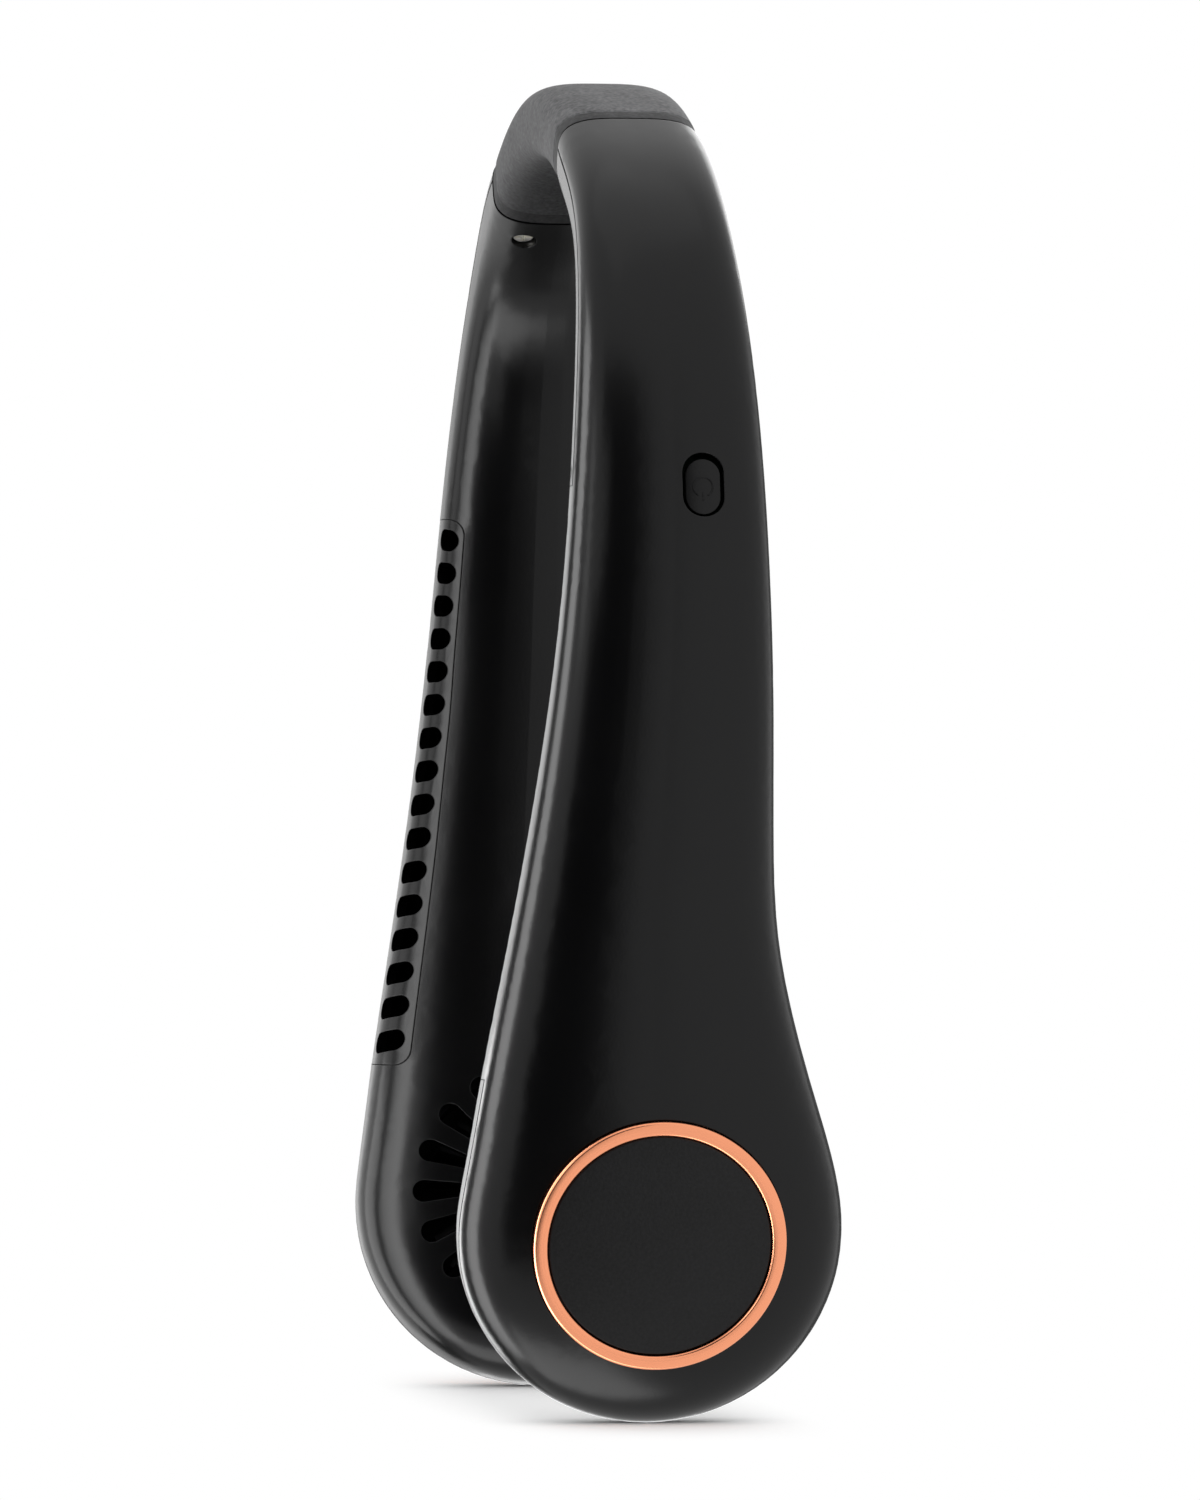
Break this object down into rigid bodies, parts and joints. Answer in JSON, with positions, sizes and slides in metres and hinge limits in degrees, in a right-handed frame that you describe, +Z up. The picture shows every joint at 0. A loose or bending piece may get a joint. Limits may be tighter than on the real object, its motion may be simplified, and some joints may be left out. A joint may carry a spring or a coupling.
{
  "type": "neck fan",
  "caption": "Bladeless neck fan: two hollow curved arms with blowers in their bulb ends, on a flexible silicone band.",
  "frame": {"origin": "middle of the bounding box at its base, where the two bulb ends stand", "axes": "+Z up from the bulbs to the band, +X from the left arm to the right arm, -Y towards the air outlets"},
  "size_m": [0.1706, 0.0596, 0.2113],
  "materials": {
    "shell_black": "satin",
    "silicone": "matte",
    "copper_trim": "polished",
    "disc_black": "matte",
    "inner_plastic": "matte",
    "nylon": "matte",
    "screw_steel": "polished",
    "shaft_steel": "satin",
    "core_steel": "satin",
    "bronze": "satin",
    "copper_wire": "gloss",
    "magnet_dark": "matte",
    "board_green": "gloss",
    "cell_foil": "satin",
    "cable_sheath": "matte"
  },
  "bodies": {
    "band": {"neck_band": "silicone", "band_spring_strip": "shaft_steel", "link_cable": "cable_sheath"},
    "right_arm": {"right_outer_shell": "shell_black", "right_inner_shell": "shell_black", "right_band_anchor": "nylon", "right_band_screws": "screw_steel", "right_trim_ring": "copper_trim", "right_cover_disc": "disc_black", "right_air_guide": "inner_plastic", "right_motor_board": "board_green", "right_bearing_sleeve": "bronze", "right_stator_core": "core_steel", "right_stator_windings": "copper_wire", "right_battery_cell": "cell_foil", "main_board": "board_green", "tact_switch": "inner_plastic", "charging_socket": "shaft_steel", "socket_tongue": "inner_plastic"},
    "left_arm": {"left_outer_shell": "shell_black", "left_inner_shell": "shell_black", "left_band_anchor": "nylon", "left_band_screws": "screw_steel", "left_trim_ring": "copper_trim", "left_cover_disc": "disc_black", "left_air_guide": "inner_plastic", "left_motor_board": "board_green", "left_bearing_sleeve": "bronze", "left_stator_core": "core_steel", "left_stator_windings": "copper_wire", "left_battery_cell": "cell_foil"},
    "right_rotor": {"right_impeller": "inner_plastic", "right_rotor_cup": "core_steel", "right_ring_magnet": "magnet_dark", "right_motor_shaft": "shaft_steel"},
    "left_rotor": {"left_impeller": "inner_plastic", "left_rotor_cup": "core_steel", "left_ring_magnet": "magnet_dark", "left_motor_shaft": "shaft_steel"},
    "button": {"power_button": "shell_black", "switch_plunger": "inner_plastic"}
  },
  "joints": [
    {"name": "right_arm_spread", "type": "hinge", "parent": "band", "child": "right_arm", "pos_m": [0.0189, 0, 0.20282], "axis": [0, -1, 0], "range_deg": [-6, 26], "stiffness_Nm_per_rad": 2, "deforming": ["neck_band", "band_spring_strip", "link_cable"]},
    {"name": "left_arm_spread", "type": "hinge", "parent": "band", "child": "left_arm", "pos_m": [-0.0189, 0, 0.20282], "axis": [0, 1, 0], "range_deg": [-6, 26], "stiffness_Nm_per_rad": 2, "deforming": ["neck_band", "band_spring_strip", "link_cable"]},
    {"name": "right_impeller_spin", "type": "hinge", "parent": "right_arm", "child": "right_rotor", "pos_m": [0.06275, 0, 0.02948], "axis": [0.9751, 0, -0.2215], "continuous": true},
    {"name": "left_impeller_spin", "type": "hinge", "parent": "left_arm", "child": "left_rotor", "pos_m": [-0.06275, 0, 0.02948], "axis": [-0.9751, 0, -0.2215], "continuous": true},
    {"name": "button_press", "type": "slide", "parent": "right_arm", "child": "button", "axis": [-0.9878, 0, -0.1557], "range_m": [0, 0.0006], "stiffness_N_per_m": 1500, "springref_m": -0.0006}
  ]
}
